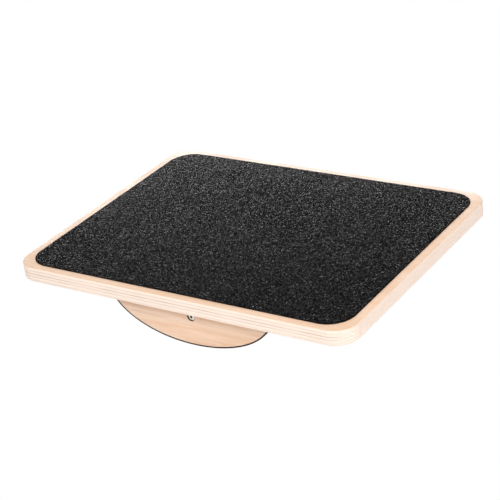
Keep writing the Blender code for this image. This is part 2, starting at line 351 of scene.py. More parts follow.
def makePlywood(name, look):
    # faces show veneer, edges show the plies; look["across"] is the sheet's thickness axis
    material, tree, shader, where = startMaterial(name, look["roughness"], specular=look["specular"])
    spot, facing = where["Object"], where["Normal"]
    axis = "XYZ".index(look["across"])
    split = addNode(tree, "ShaderNodeSeparateXYZ", (-1900, 250))
    tree.links.new(spot, split.inputs[0])
    turned = addNode(tree, "ShaderNodeSeparateXYZ", (-1900, -350))
    tree.links.new(facing, turned.inputs[0])
    lean = mathNode(tree, (-1700, -350), "ABSOLUTE", turned.outputs[axis])
    sideMask = rangeNode(tree, (-1500, -350), lean, 0.80, 0.45)
    endways = mathNode(tree, (-1700, -550), "ABSOLUTE", turned.outputs[0])
    endMask = rangeNode(tree, (-1500, -550), endways, 0.35, 0.85)

    face = placeGroup(tree, grainGroup, (-1500, 300), Vector=spot, Stretch=look["faceStretch"])
    figured = mixColour(tree, (-1200, 400), face["Figure"], look["faceLight"], look["faceWarm"])
    streaked = mathNode(tree, (-1200, 200), "MULTIPLY", face["Streak"], look["streak"])
    faceTone = mixColour(tree, (-1000, 400), streaked, figured, look["faceDeep"])
    pored = mathNode(tree, (-1000, 200), "MULTIPLY", face["Pore"], look["pore"])
    faceColour = mixColour(tree, (-800, 400), pored, faceTone, look["poreColour"])

    depth = rangeNode(tree, (-1700, 0), split.outputs[axis], look["showFace"], look["farFace"], smooth=False)
    ply = placeGroup(tree, plyGroup, (-1500, 0), Depth=depth, Vector=spot)
    lengthwise = mathNode(tree, (-1250, -250), "SUBTRACT", 1.0, ply["Crosswise"])
    longSide = mathNode(tree, (-1100, -100), "MULTIPLY", ply["Tone"], look["longEdge"])
    shortSide = mathNode(tree, (-1100, -250), "MULTIPLY", lengthwise, look["shortEdge"])
    dark = addNode(tree, "ShaderNodeMix", (-900, -150))
    tree.links.new(endMask, dark.inputs["Factor"])
    tree.links.new(longSide, dark.inputs[2])
    tree.links.new(shortSide, dark.inputs[3])
    edgeGrain = placeGroup(tree, mottleGroup, (-900, -450), Vector=spot, Blotch_Scale=30.0,
                           Speck_Scale=1400.0)
    specked = mathNode(tree, (-700, -450), "MULTIPLY_ADD", edgeGrain["Speck"], look["endSpeck"])
    tree.links.new(dark.outputs[0], specked.node.inputs[2])
    plyColour = mixColour(tree, (-500, -150), specked, look["edgeLight"], look["edgeDark"])
    glued = mathNode(tree, (-500, -350), "MULTIPLY", ply["Glue"], look["glue"])
    edgeColour = mixColour(tree, (-300, -150), glued, plyColour, look["glueColour"])

    base = mixColour(tree, (-150, 200), sideMask, faceColour, edgeColour)
    if look["boreSpot"]:
        # painted shade: the wall of the screw's pocket, as deep as the screw head sits, and a thin ring round
        # its mouth are coloured dark
        away = addNode(tree, "ShaderNodeVectorMath", (-600, 700), operation="SUBTRACT")
        tree.links.new(spot, away.inputs[0])
        away.inputs[1].default_value = look["boreSpot"]
        level = addNode(tree, "ShaderNodeVectorMath", (-400, 700), operation="MULTIPLY")
        tree.links.new(away.outputs[0], level.inputs[0])
        level.inputs[1].default_value = [0.0 if k == axis else 1.0 for k in range(3)]
        span = addNode(tree, "ShaderNodeVectorMath", (-200, 700), operation="LENGTH")
        tree.links.new(level.outputs[0], span.inputs[0])
        boreShadeMask = rangeNode(tree, (0, 700), span.outputs["Value"], *look["boreShadeFade"])
        base = mixColour(tree, (200, 500), boreShadeMask, base, look["boreShadeColour"])
    tree.links.new(base, shader.inputs["Base Color"])
    sheen = placeGroup(tree, mottleGroup, (-900, -700), Vector=spot, Blotch_Scale=14.0, Speck_Scale=700.0)
    rough = rangeNode(tree, (-600, -700), sheen["Blotch"], 0.0, 1.0, look["roughness"] - 0.05,
                      look["roughness"] + 0.07, smooth=False)
    tree.links.new(rough, shader.inputs["Roughness"])
    sunkGlue = mathNode(tree, (-650, -600), "MULTIPLY", glued, sideMask)
    height = mathNode(tree, (-450, -600), "SUBTRACT", face["Height"], sunkGlue)
    addBump(tree, shader, height, 0.35, 0.00012)
    return material


deckLow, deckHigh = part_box("deck")
rockerLow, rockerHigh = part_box("rocker_front")

deckLook = {
    "across": "Z",
    "showFace": deckHigh.z,
    "farFace": deckLow.z,
    "faceStretch": (0.05, 1.0, 1.0),
    "faceLight": (0.735, 0.525, 0.385),
    "faceWarm": (0.685, 0.46, 0.31),
    "faceDeep": (0.61, 0.385, 0.23),
    "poreColour": (0.50, 0.30, 0.17),
    "edgeLight": (0.81, 0.67, 0.575),
    "edgeDark": (0.52, 0.41, 0.335),
    "glueColour": (0.45, 0.32, 0.23),
    "streak": 0.30,
    "pore": 0.35,
    "longEdge": 0.80,
    "shortEdge": 0.22,
    "endSpeck": 0.10,
    "glue": 0.16,
    "roughness": 0.42,
    "specular": 0.40,
    "boreSpot": None,
}
railScrewLow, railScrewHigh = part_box("rail_screw_front")
railScrewSpot = (railScrewLow + railScrewHigh) / 2
rockerLook = dict(deckLook)
rockerLook.update({
    "across": "Y",
    "showFace": rockerLow.y,
    "farFace": rockerHigh.y,
    "faceStretch": (0.07, 1.0, 1.0),
    # painted light: the rocker's veneer colours are set paler than the deck's same birch veneer, offsetting
    # the shade under the deck and the stronger light on the deck's top
    "faceLight": (0.85, 0.68, 0.565),
    "faceWarm": (0.79, 0.565, 0.41),
    "faceDeep": (0.66, 0.41, 0.25),
    "streak": 0.50,
    "roughness": 0.40,
    "specular": 0.28,
    "boreSpot": railScrewSpot,
    "boreShadeFade": (0.0049, 0.00465),         # from bare face to painted shade on the pocket wall, out from the screw's axis
    # painted shade colour for the screw's pocket wall
    "boreShadeColour": (0.16, 0.085, 0.045),
})
deckWood = makePlywood("deckPlywood", deckLook)
rockerWood = makePlywood("rockerPlywood", rockerLook)


def makeSolidWood(name, look):
    material, tree, shader, where = startMaterial(name, look["roughness"])
    spot = where["Object"]
    grain = placeGroup(tree, grainGroup, (-1500, 300), Vector=spot, Stretch=look["stretch"])
    figured = mixColour(tree, (-1200, 400), grain["Figure"], look["light"], look["warm"])
    streaked = mathNode(tree, (-1200, 200), "MULTIPLY", grain["Streak"], look["streak"])
    toned = mixColour(tree, (-1000, 400), streaked, figured, look["deep"])
    pored = mathNode(tree, (-1000, 200), "MULTIPLY", grain["Pore"], look["pore"])
    colour = mixColour(tree, (-800, 400), pored, toned, look["poreColour"])
    tree.links.new(colour, shader.inputs["Base Color"])
    sheen = placeGroup(tree, mottleGroup, (-900, -700), Vector=spot, Blotch_Scale=20.0, Speck_Scale=900.0)
    rough = rangeNode(tree, (-600, -700), sheen["Blotch"], 0.0, 1.0, look["roughness"] - 0.06,
                      look["roughness"] + 0.08, smooth=False)
    tree.links.new(rough, shader.inputs["Roughness"])
    addBump(tree, shader, grain["Height"], 0.5, 0.00015)
    return material


railWood = makeSolidWood("railHardwood", {
    "stretch": (1.0, 0.05, 1.0),
    "light": (0.80, 0.60, 0.42),
    "warm": (0.72, 0.49, 0.31),
    "deep": (0.62, 0.38, 0.22),
    "poreColour": (0.42, 0.24, 0.13),
    "streak": 0.4,
    "pore": 0.5,
    "roughness": 0.48,
})
dowelWood = makeSolidWood("dowelBeech", {
    "stretch": (1.0, 1.0, 0.06),
    "light": (0.66, 0.45, 0.28),
    "warm": (0.58, 0.36, 0.21),
    "deep": (0.50, 0.29, 0.16),
    "poreColour": (0.30, 0.16, 0.08),
    "streak": 0.5,
    "pore": 0.8,
    "roughness": 0.62,
})


def makeGrip():
    look = {
        "black": (0.0016, 0.0012, 0.0012),
        "charcoal": (0.0034, 0.0028, 0.0028),
        "crystal": (0.08, 0.08, 0.08),
        "grainScale": 1400.0,
        "roughness": 0.75,
        "coatLow": 0.01,
        "coatHigh": 1.0,
        "coatRoughness": 0.22,
        "rarity": 7.4,                     # how few grains catch the light
    }
    material, tree, shader, where = startMaterial("gripSheetBlack", look["roughness"], specular=0.0)
    spot = where["Object"]
    shader.inputs["Coat Roughness"].default_value = look["coatRoughness"]
    cells = addNode(tree, "ShaderNodeTexVoronoi", (-1500, 300))
    cells.inputs["Scale"].default_value = look["grainScale"]
    tree.links.new(spot, cells.inputs["Vector"])
    tint = addNode(tree, "ShaderNodeSeparateColor", (-1250, 300))
    tree.links.new(cells.outputs["Color"], tint.inputs[0])
    bright = rangeNode(tree, (-1000, 450), tint.outputs[0], 0.93, 1.0)
    broad = placeGroup(tree, mottleGroup, (-1500, -100), Vector=spot, Blotch_Scale=60.0, Speck_Scale=600.0)
    ground = mixColour(tree, (-900, 200), broad["Speck"], look["black"], look["charcoal"])
    fading = mathNode(tree, (-800, 450), "MULTIPLY", bright, 0.6)
    colour = mixColour(tree, (-600, 250), fading, ground, look["crystal"])
    tree.links.new(colour, shader.inputs["Base Color"])
    shine = mathNode(tree, (-1000, -450), "POWER", tint.outputs[1], look["rarity"])
    coat = rangeNode(tree, (-800, -450), shine, 0.0, 1.0, look["coatLow"], look["coatHigh"], smooth=False)
    tree.links.new(coat, shader.inputs["Coat Weight"])
    dome = rangeNode(tree, (-900, -300), cells.outputs["Distance"], 0.0, 0.6, 1.0, 0.0)
    tall = mathNode(tree, (-700, -300), "MULTIPLY", dome, tint.outputs[2])
    addBump(tree, shader, tall, 0.2, 0.0003)
    return material


def makeRubber():
    look = {
        "fresh": (0.010, 0.007, 0.0055),
        "worn": (0.020, 0.014, 0.011),
        "dust": (0.10, 0.08, 0.065),
        "dusting": 0.12,
        "roughness": (0.55, 0.75),
        "specular": 0.08,
    }
    material, tree, shader, where = startMaterial("treadRubber", look["roughness"][0],
                                                  specular=look["specular"])
    spot = where["Object"]
    skin = placeGroup(tree, mottleGroup, (-1500, 0), Vector=spot, Blotch_Scale=70.0, Speck_Scale=2400.0)
    worn = mixColour(tree, (-1000, 200), skin["Blotch"], look["fresh"], look["worn"])
    dusty = mathNode(tree, (-1000, 0), "MULTIPLY", skin["Speck"], look["dusting"])
    colour = mixColour(tree, (-800, 200), dusty, worn, look["dust"])
    tree.links.new(colour, shader.inputs["Base Color"])
    rough = rangeNode(tree, (-800, -100), skin["Blotch"], 0.0, 1.0, *look["roughness"], smooth=False)
    tree.links.new(rough, shader.inputs["Roughness"])
    addBump(tree, shader, skin["Speck"], 0.5, 0.0002)
    return material


def makeSteel():
    look = {
        "dull": (0.92, 0.92, 0.93),
        "bright": (0.98, 0.98, 0.98),
        # painted shade colour for the cross recess
        "recess": (0.05, 0.05, 0.055),
        "roughness": (0.28, 0.44),
        "metallic": 0.45,
    }
    material, tree, shader, where = startMaterial("screwSteel", look["roughness"][0],
                                                  metallic=look["metallic"])
    spot = where["Object"]
    skin = placeGroup(tree, mottleGroup, (-1500, 0), Vector=spot, Blotch_Scale=350.0, Speck_Scale=5200.0)
    colour = mixColour(tree, (-1000, 200), skin["Blotch"], look["dull"], look["bright"])
    # painted shade: faces in the cross recess are coloured near black
    recess = addNode(tree, "ShaderNodeAttribute", (-1000, 450), attribute_name="recess")
    recessShaded = mixColour(tree, (-700, 250), recess.outputs["Fac"], colour, look["recess"])
    tree.links.new(recessShaded, shader.inputs["Base Color"])
    rough = rangeNode(tree, (-1000, -100), skin["Blotch"], 0.0, 1.0, *look["roughness"], smooth=False)
    tree.links.new(rough, shader.inputs["Roughness"])
    addBump(tree, shader, skin["Speck"], 0.25, 0.00004)
    return material


gripBlack = makeGrip()
treadRubber = makeRubber()
screwSteel = makeSteel()
print("materials ready")


# ---------- mesh helpers

def meshObject(name, mesh, material=None):
    piece = bpy.data.objects.new(name, mesh)
    sceneCollection.objects.link(piece)
    if material:
        mesh.materials.clear()
        mesh.materials.append(material)
    return piece


def finishBmesh(shape, name):
    bmesh.ops.recalc_face_normals(shape, faces=shape.faces)
    mesh = bpy.data.meshes.new(name)
    shape.to_mesh(mesh)
    shape.free()
    return mesh


def applyModifiers(piece):
    # the evaluated shape becomes the piece's plain mesh
    bpy.context.view_layer.update()
    graph = bpy.context.evaluated_depsgraph_get()
    mesh = bpy.data.meshes.new_from_object(piece.evaluated_get(graph))
    mesh.name = piece.name
    piece.modifiers.clear()
    piece.data = mesh
    return piece


def settle(piece, body, slotName, *nodes):
    # the finished piece joins the frame in place of its plain nodes
    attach(piece, body)
    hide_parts(*nodes)
    print("made", piece.name, len(piece.data.polygons), "faces")


def softShade(mesh, degrees):
    mesh.shade_smooth()
    mesh.set_sharp_from_angle(angle=math.radians(degrees))


def roundOver(piece, width, segments):
    bevel = piece.modifiers.new("easedEdges", "BEVEL")
    bevel.width = width
    bevel.segments = segments
    bevel.limit_method = "ANGLE"
    bevel.angle_limit = math.radians(40)
    bevel.harden_normals = True


def carve(piece, cutter):
    boolean = piece.modifiers.new("bores", "BOOLEAN")
    boolean.operation = "DIFFERENCE"
    boolean.object = cutter
    boolean.solver = "EXACT"


def bridge(shape, upper, lower, steps):
    # joins two rings of points with faces; a ring of one point is a pole
    for i in range(steps):
        j = (i + 1) % steps
        near = [upper[i % len(upper)], upper[j % len(upper)]]
        far = [lower[j % len(lower)], lower[i % len(lower)]]
        face = list(dict.fromkeys(near + far))
        if len(face) > 2:
            shape.faces.new(face)


def turnedRings(shape, profile, steps, matrix):
    # adds a closed turned solid to shape; the profile is (radius, height) from pole to pole
    rings = []
    for radius, height in profile:
        if radius == 0.0:
            rings.append([shape.verts.new(matrix @ Vector((0.0, 0.0, height)))])
            continue
        ring = []
        for i in range(steps):
            turn = 2 * math.pi * i / steps
            spot = Vector((radius * math.cos(turn), radius * math.sin(turn), height))
            ring.append(shape.verts.new(matrix @ spot))
        rings.append(ring)
    for upper, lower in zip(rings, rings[1:]):
        bridge(shape, upper, lower, steps)


# ---------- where the fasteners go

deckScrewNodes = sorted(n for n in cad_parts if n.startswith("deck_screw"))
railScrewNodes = sorted(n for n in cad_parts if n.startswith("rail_screw"))
dowelNodes = sorted(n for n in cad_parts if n.startswith("dowel"))


def fastenerSpots(nodes):
    # the outer end of each fastener and the way its head faces
    spots = []
    for node in nodes:
        low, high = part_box(node)
        middle = (low + high) / 2
        if node.startswith("rail_screw"):
            way = Vector((0.0, -1.0 if middle.y < 0 else 1.0, 0.0))
            head = Vector((middle.x, low.y if middle.y < 0 else high.y, middle.z))
        else:
            way = Vector((0.0, 0.0, 1.0))
            head = Vector((middle.x, middle.y, high.z))
        spots.append((head, way))
    return spots


boreSetup = {
    "slack": 0.0003,
    "headRadius": 0.0040,
    "deckShank": 0.0020,
    "railShank": 0.0022,
    "deckLength": 0.0380,
    "railLength": 0.0460,
    "pocketRadius": 0.0046,
    "pocketDepth": 0.0025,
    "mouth": 0.0020,
    "steps": 48,
}


def boreProfiles(setup):
    slack, mouth = setup["slack"], setup["mouth"]
    head, shank = setup["headRadius"] + slack, setup["deckShank"] + slack
    deckEnd, railEnd = -setup["deckLength"] - slack, -setup["railLength"] - slack
    deck = [(0.0, mouth), (head, mouth), (head, -0.0004), (shank, -0.0024), (shank, deckEnd), (0.0, deckEnd)]
    pocket, inner = setup["pocketRadius"], setup["railShank"] + slack
    rail = [(0.0, mouth), (pocket, mouth), (pocket, -setup["pocketDepth"]), (inner, -setup["pocketDepth"]),
            (inner, railEnd), (0.0, railEnd)]
    return deck, rail


def makeBoreCutter(setup):
    shape = bmesh.new()
    deckBore, railBore = boreProfiles(setup)
    for nodes, profile in ((deckScrewNodes, deckBore), (railScrewNodes, railBore)):
        for head, way in fastenerSpots(nodes):
            matrix = Matrix.Translation(head) @ way.to_track_quat("Z", "Y").to_matrix().to_4x4()
            turnedRings(shape, profile, setup["steps"], matrix)
    for node in dowelNodes:
        low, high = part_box(node)
        radius = (high.x - low.x) / 2 + setup["slack"]
        profile = [(0.0, high.z + setup["slack"]), (radius, high.z + setup["slack"]),
                   (radius, low.z - setup["slack"]), (0.0, low.z - setup["slack"])]
        middle = (low + high) / 2
        turnedRings(shape, profile, setup["steps"], Matrix.Translation((middle.x, middle.y, 0.0)))
    return meshObject("boreCutter", finishBmesh(shape, "boreCutter"))


boreCutter = makeBoreCutter(boreSetup)


# ---------- deck

deckShape = {
    "cornerRadius": 0.0270,
    "cornerSteps": 24,
    "edgeRadius": 0.0011,
    "edgeSteps": 5,
    "grooveDepth": 0.00005,
    "grooveHalf": 0.00008,
    "plyUnevenness": 0.00003,
    "seed": 4,
}


def roundedOutline(halfLength, halfWidth, radius, steps):
    points = []
    quarters = ((1, 1, 0), (-1, 1, 90), (-1, -1, 180), (1, -1, 270))
    for sideX, sideY, start in quarters:
        for i in range(steps + 1):
            turn = math.radians(start + 90 * i / steps)
            x = sideX * (halfLength - radius) + radius * math.cos(turn)
            y = sideY * (halfWidth - radius) + radius * math.sin(turn)
            points.append((x, y))
    return points


def deckRings(setup, low, high):
    # (inset, height) down the deck's edge: rounded arrises, and a fine groove at each glue line
    rings = []
    radius, steps = setup["edgeRadius"], setup["edgeSteps"]
    for i in range(steps + 1):
        turn = math.pi / 2 * i / steps
        rings.append((radius * (1 - math.sin(turn)), high.z - radius * (1 - math.cos(turn))))
    draw = random.Random(setup["seed"])
    level = 0.0
    for joint in plySheet["joints"]:
        z = high.z - joint * (high.z - low.z)
        following = draw.uniform(0.0, setup["plyUnevenness"])
        rings.append((level, z + setup["grooveHalf"]))
        rings.append((setup["grooveDepth"], z))
        rings.append((following, z - setup["grooveHalf"]))
        level = following
    for i in range(steps + 1):
        turn = math.pi / 2 * (1 - i / steps)
        rings.append((radius * (1 - math.sin(turn)), low.z + radius * (1 - math.cos(turn))))
    return rings


def makeDeck(setup):
    low, high = deckLow, deckHigh
    shape = bmesh.new()
    loops = []
    for inset, z in deckRings(setup, low, high):
        radius = setup["cornerRadius"] - inset
        outline = roundedOutline(high.x - inset, high.y - inset, radius, setup["cornerSteps"])
        loops.append([shape.verts.new((x, y, z)) for x, y in outline])
    for upper, lower in zip(loops, loops[1:]):
        bridge(shape, upper, lower, len(upper))
    shape.faces.new(loops[0])
    shape.faces.new(loops[-1])
    deck = meshObject("deckBoard", finishBmesh(shape, "deckBoard"), deckWood)
    carve(deck, boreCutter)
    applyModifiers(deck)
    softShade(deck.data, 30)
    settle(deck, "root", "deck_plywood", "deck")
    return deck


makeDeck(deckShape)


# ---------- grip sheet

gripShape = {
    "cornerRadius": 0.0300,
    "cornerSteps": 36,
    "spacing": 0.00135,
    "jitter": 0.34,
    "rim": 0.0009,
    "grainHeight": 0.00020,
    "lumpHeight": 0.00008,
    "lumpScale": 180.0,
    "seed": 11,
}


def insideOutline(x, y, halfLength, halfWidth, radius):
    overX = max(abs(x) - (halfLength - radius), 0.0)
    overY = max(abs(y) - (halfWidth - radius), 0.0)
    return abs(x) < halfLength and abs(y) < halfWidth and math.hypot(overX, overY) < radius


def gritTree(setup):
    # lifts the marked points by a random grain height and a slow swell, then sets the material
    tree = bpy.data.node_groups.new("gritRelief", "GeometryNodeTree")
    face = tree.interface
    face.new_socket("Geometry", in_out="INPUT", socket_type="NodeSocketGeometry")
    for label in ("Grain Height", "Lump Height", "Lump Scale"):
        face.new_socket(label, in_out="INPUT", socket_type="NodeSocketFloat")
    face.new_socket("Seed", in_out="INPUT", socket_type="NodeSocketInt")
    face.new_socket("Material", in_out="INPUT", socket_type="NodeSocketMaterial")
    face.new_socket("Geometry", in_out="OUTPUT", socket_type="NodeSocketGeometry")
    inn = addNode(tree, "NodeGroupInput", (-900, 0)).outputs
    leave = addNode(tree, "NodeGroupOutput", (900, 0))
    marked = addNode(tree, "GeometryNodeInputNamedAttribute", (-600, 300), data_type="FLOAT")
    marked.inputs["Name"].default_value = "grit"
    chance = addNode(tree, "FunctionNodeRandomValue", (-600, 50), data_type="FLOAT")
    tree.links.new(inn["Seed"], chance.inputs["Seed"])
    peaked = mathNode(tree, (-400, 50), "POWER", chance.outputs[1], 1.6)
    grain = mathNode(tree, (-200, 50), "MULTIPLY", peaked, inn["Grain Height"])
    swell = addNode(tree, "ShaderNodeTexNoise", (-600, -250))
    tree.links.new(inn["Lump Scale"], swell.inputs["Scale"])
    lump = mathNode(tree, (-200, -200), "MULTIPLY", swell.outputs["Fac"], inn["Lump Height"])
    lift = mathNode(tree, (0, 0), "ADD", grain, lump)
    kept = mathNode(tree, (150, 100), "MULTIPLY", lift, marked.outputs["Attribute"])
    up = addNode(tree, "ShaderNodeCombineXYZ", (300, 100))
    tree.links.new(kept, up.inputs["Z"])
    move = addNode(tree, "GeometryNodeSetPosition", (450, 0))
    tree.links.new(inn["Geometry"], move.inputs["Geometry"])
    tree.links.new(up.outputs[0], move.inputs["Offset"])
    whole = addNode(tree, "GeometryNodeRealizeInstances", (600, 0))
    tree.links.new(move.outputs[0], whole.inputs[0])
    coat = addNode(tree, "GeometryNodeSetMaterial", (750, 0))
    tree.links.new(whole.outputs[0], coat.inputs["Geometry"])
    tree.links.new(inn["Material"], coat.inputs["Material"])
    tree.links.new(coat.outputs[0], leave.inputs[0])
    return tree


def setInputs(modifier, values):
    # by the sockets' identifiers, before the object is first evaluated
    for item in modifier.node_group.interface.items_tree:
        if item.item_type == "SOCKET" and item.in_out == "INPUT" and item.name in values:
            modifier[item.identifier] = values[item.name]


def makeGripSheet(setup):
    low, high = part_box("grip_sheet")
    radius, gap = setup["cornerRadius"], setup["spacing"]
    ground = high.z - setup["grainHeight"] - setup["lumpHeight"]
    outline = [Vector(p) for p in roundedOutline(high.x, high.y, radius, setup["cornerSteps"])]
    rim = []
    for a, b in zip(outline, outline[1:] + outline[:1]):
        parts = max(1, round((b - a).length / gap))
        rim += [a.lerp(b, i / parts) for i in range(parts)]
    draw = random.Random(setup["seed"])
    loose = []
    rows = int(2 * high.y / gap)
    columns = int(2 * high.x / gap)
    for row in range(rows + 1):
        for column in range(columns + 1):
            x = low.x + gap * (column + 0.5 * (row % 2)) + draw.uniform(-1, 1) * setup["jitter"] * gap
            y = low.y + gap * row + draw.uniform(-1, 1) * setup["jitter"] * gap
            if insideOutline(x, y, high.x - setup["rim"], high.y - setup["rim"], radius - setup["rim"]):
                loose.append(Vector((x, y)))
    edges = [(i, (i + 1) % len(rim)) for i in range(len(rim))]
    points, _, faces, _, _, _ = delaunay_2d_cdt(rim + loose, edges, [], 1, 1e-7)

    shape = bmesh.new()
    mark = shape.verts.layers.float.new("grit")
    top = [shape.verts.new((p.x, p.y, ground)) for p in points]
    for vert in top[len(rim):]:
        vert[mark] = 1.0
    for face in faces:
        shape.faces.new([top[i] for i in face])
    border = top[:len(rim)]
    foot = [shape.verts.new((v.co.x, v.co.y, low.z)) for v in border]
    for i in range(len(border)):
        j = (i + 1) % len(border)
        shape.faces.new((border[i], foot[i], foot[j], border[j]))
    shape.faces.new(foot)
    sheet = meshObject("gripSheet", finishBmesh(shape, "gripSheet"), gripBlack)
    relief = sheet.modifiers.new("grit", "NODES")
    relief.node_group = gritTree(setup)
    setInputs(relief, {"Grain Height": setup["grainHeight"], "Lump Height": setup["lumpHeight"],
                       "Lump Scale": setup["lumpScale"], "Seed": setup["seed"], "Material": gripBlack})
    applyModifiers(sheet)
    settle(sheet, "root", "grip_sheet_black", "grip_sheet")
    return sheet


makeGripSheet(gripShape)


# ---------- rockers and treads

rockerShape = {
    "curveSteps": 120,
    "edgeRadius": 0.0004,
    "treadThickness": 0.0015,
    "treadEdge": 0.00015,
    "glueGap": 0.0001,
}


def rockerCurve(halfLength, depth, top, inset, steps):
    # the lower half of an ellipse from -X to +X, moved in by the inset
    points = []
    for i in range(steps + 1):
        turn = math.pi * (i / steps - 0.5)
        across, down = math.sin(turn), math.cos(turn)
        slant = math.hypot(depth * across, halfLength * down)
        x = halfLength * across - inset * depth * across / slant
        z = top - depth * down + inset * halfLength * down / slant
        points.append((x, z))
    return points


def uprightPlate(name, outline, nearY, farY, material):
    # an outline in the XZ plane with thickness along Y
    shape = bmesh.new()
    near = [shape.verts.new((x, nearY, z)) for x, z in outline]
    far = [shape.verts.new((x, farY, z)) for x, z in outline]
    bridge(shape, near, far, len(near))
    shape.faces.new(near)
    shape.faces.new(far)
    return meshObject(name, finishBmesh(shape, name), material)


def makeRocker(side, setup):
    low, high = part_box("tread_" + side)
    halfLength, depth = high.x, high.z - low.z
    inset = setup["treadThickness"] + setup["glueGap"]
    wood = rockerCurve(halfLength, depth, high.z, inset, setup["curveSteps"])
    plate = uprightPlate("rocker" + side.title(), wood, low.y, high.y, rockerWood)
    roundOver(plate, setup["edgeRadius"], 4)
    carve(plate, boreCutter)
    applyModifiers(plate)
    softShade(plate.data, 30)
    settle(plate, "root", "rocker_plywood", "rocker_" + side)

    outer = rockerCurve(halfLength, depth, high.z, 0.0, setup["curveSteps"])
    inner = rockerCurve(halfLength, depth, high.z, setup["treadThickness"], setup["curveSteps"])
    strip = uprightPlate("tread" + side.title(), outer + inner[::-1], low.y, high.y, treadRubber)
    roundOver(strip, setup["treadEdge"], 2)
    applyModifiers(strip)
    softShade(strip.data, 40)
    settle(strip, "root", "tread_rubber", "tread_" + side)


for rockerSide in ("front", "rear"):
    makeRocker(rockerSide, rockerShape)


# ---------- cross rail

def makeRail():
    low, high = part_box("cross_rail")
    outline = [(low.x, low.z), (high.x, low.z), (high.x, high.z), (low.x, high.z)]
    rail = uprightPlate("crossRail", outline, low.y, high.y, railWood)
    roundOver(rail, 0.0018, 4)
    carve(rail, boreCutter)
    applyModifiers(rail)
    softShade(rail.data, 30)
    settle(rail, "root", "rail_hardwood", "cross_rail")


makeRail()
bpy.data.objects.remove(boreCutter)


# ---------- screws and dowels

screwShape = {
    "steps": 32,
    "threadSteps": 8,
    "threadDepth": 0.00022,
    "recessSpan": 0.0034,
    "recessSlot": 0.0019,
    "recessDepth": 0.0016,
}


def threadedShank(shape, radius, start, end, pitch, setup):
    # rings whose radius follows a helix; start and end are heights, going down
    steps = setup["steps"]
    count = int((start - end) / pitch * setup["threadSteps"])
    rings = []
    for k in range(count + 1):
        z = start + (end - start) * k / count
        fade = min(1.0, 4.0 * k / count) * min(1.0, 6.0 * (1 - k / count))
        tip = min(1.0, 0.1 + 8.0 * (1 - k / count))
        ring = []
        for i in range(steps):
            share = (z / pitch + i / steps) % 1.0
            crest = max(0.0, 1.0 - 3.0 * abs(share - 0.5))
            r = radius * tip + (crest * setup["threadDepth"] * fade)
            turn = 2 * math.pi * i / steps
            ring.append(shape.verts.new((r * math.cos(turn), r * math.sin(turn), z)))
        rings.append(ring)
    for upper, lower in zip(rings, rings[1:]):
        bridge(shape, upper, lower, steps)
    shape.faces.new(rings[-1])
    return rings[0]


def makeScrewPattern(name, headProfile, thread, setup):
    # head rings run from the middle of the head out and down to the shank
    shape = bmesh.new()
    neck = headProfile[-1][1]
    collar = threadedShank(shape, thread["radius"], neck, -thread["length"], thread["pitch"], setup)
    steps = setup["steps"]
    previous = None
    for radius, height in headProfile[:-1]:
        ring = []
        for i in range(steps if radius else 1):
            turn = 2 * math.pi * i / steps
            ring.append(shape.verts.new((radius * math.cos(turn), radius * math.sin(turn), height)))
        if previous:
            bridge(shape, previous, ring, steps)
        previous = ring
    bridge(shape, previous, collar, steps)
    screw = meshObject(name, finishBmesh(shape, name), screwSteel)

    half, near = setup["recessSpan"] / 2, setup["recessSlot"] / 2
    cross = bmesh.new()
    bmesh.ops.create_cube(cross, size=1.0)
    bmesh.ops.scale(cross, vec=(2 * near, 2 * near, 2 * setup["recessDepth"]), verts=cross.verts)
    cross.normal_update()
    sides = [f for f in cross.faces if abs(f.normal.z) < 0.5]
    for arm in bmesh.ops.extrude_discrete_faces(cross, faces=sides)["faces"]:
        bmesh.ops.translate(cross, vec=arm.normal * (half - near), verts=arm.verts)
    cutter = meshObject(name + "Cross", finishBmesh(cross, name + "Cross"))
    carve(screw, cutter)
    applyModifiers(screw)
    bpy.data.objects.remove(cutter)
    softShade(screw.data, 32)
    return screw


def countersunkHead(radius, shank, rim):
    foot = -rim - (radius - shank)
    return [(0.0, 0.0), (radius - 0.0002, 0.0), (radius, -0.0002), (radius, -rim), (shank, foot),
            (shank, foot - 0.0005)]


def domedHead(radius, shank, height, rise, steps):
    profile = []
    for i in range(steps + 1):
        turn = math.pi / 2 * i / steps
        profile.append((radius * math.sin(turn), rise * (math.cos(turn) - 1)))
    return profile + [(radius, -height + 0.0002), (radius - 0.0002, -height), (shank, -height),
                      (shank, -height - 0.0005)]


recessZone = {"radius": 0.0019, "top": -0.0003, "bottom": -0.0030}


def markRecess(tree, pattern, zone):
    # faces sunk into the middle of a head, as a face value the steel reads to paint shade into the recess
    spot = addNode(tree, "GeometryNodeInputPosition", (-1500, 700))
    parts = addNode(tree, "ShaderNodeSeparateXYZ", (-1300, 700))
    tree.links.new(spot.outputs[0], parts.inputs[0])
    flat = addNode(tree, "ShaderNodeCombineXYZ", (-1100, 850))
    tree.links.new(parts.outputs[0], flat.inputs[0])
    tree.links.new(parts.outputs[1], flat.inputs[1])
    span = addNode(tree, "ShaderNodeVectorMath", (-900, 850), operation="LENGTH")
    tree.links.new(flat.outputs[0], span.inputs[0])
    close = mathNode(tree, (-700, 850), "LESS_THAN", span.outputs["Value"], zone["radius"])
    sunk = mathNode(tree, (-900, 650), "LESS_THAN", parts.outputs[2], zone["top"])
    shallow = mathNode(tree, (-900, 480), "GREATER_THAN", parts.outputs[2], zone["bottom"])
    within = mathNode(tree, (-700, 600), "MULTIPLY", sunk, shallow)
    both = mathNode(tree, (-500, 700), "MULTIPLY", close, within)
    store = addNode(tree, "GeometryNodeStoreNamedAttribute", (-250, 400), data_type="FLOAT", domain="FACE")
    store.inputs["Name"].default_value = "recess"
    tree.links.new(pattern, store.inputs["Geometry"])
    tree.links.new(both, store.inputs["Value"])
    return store.outputs["Geometry"]


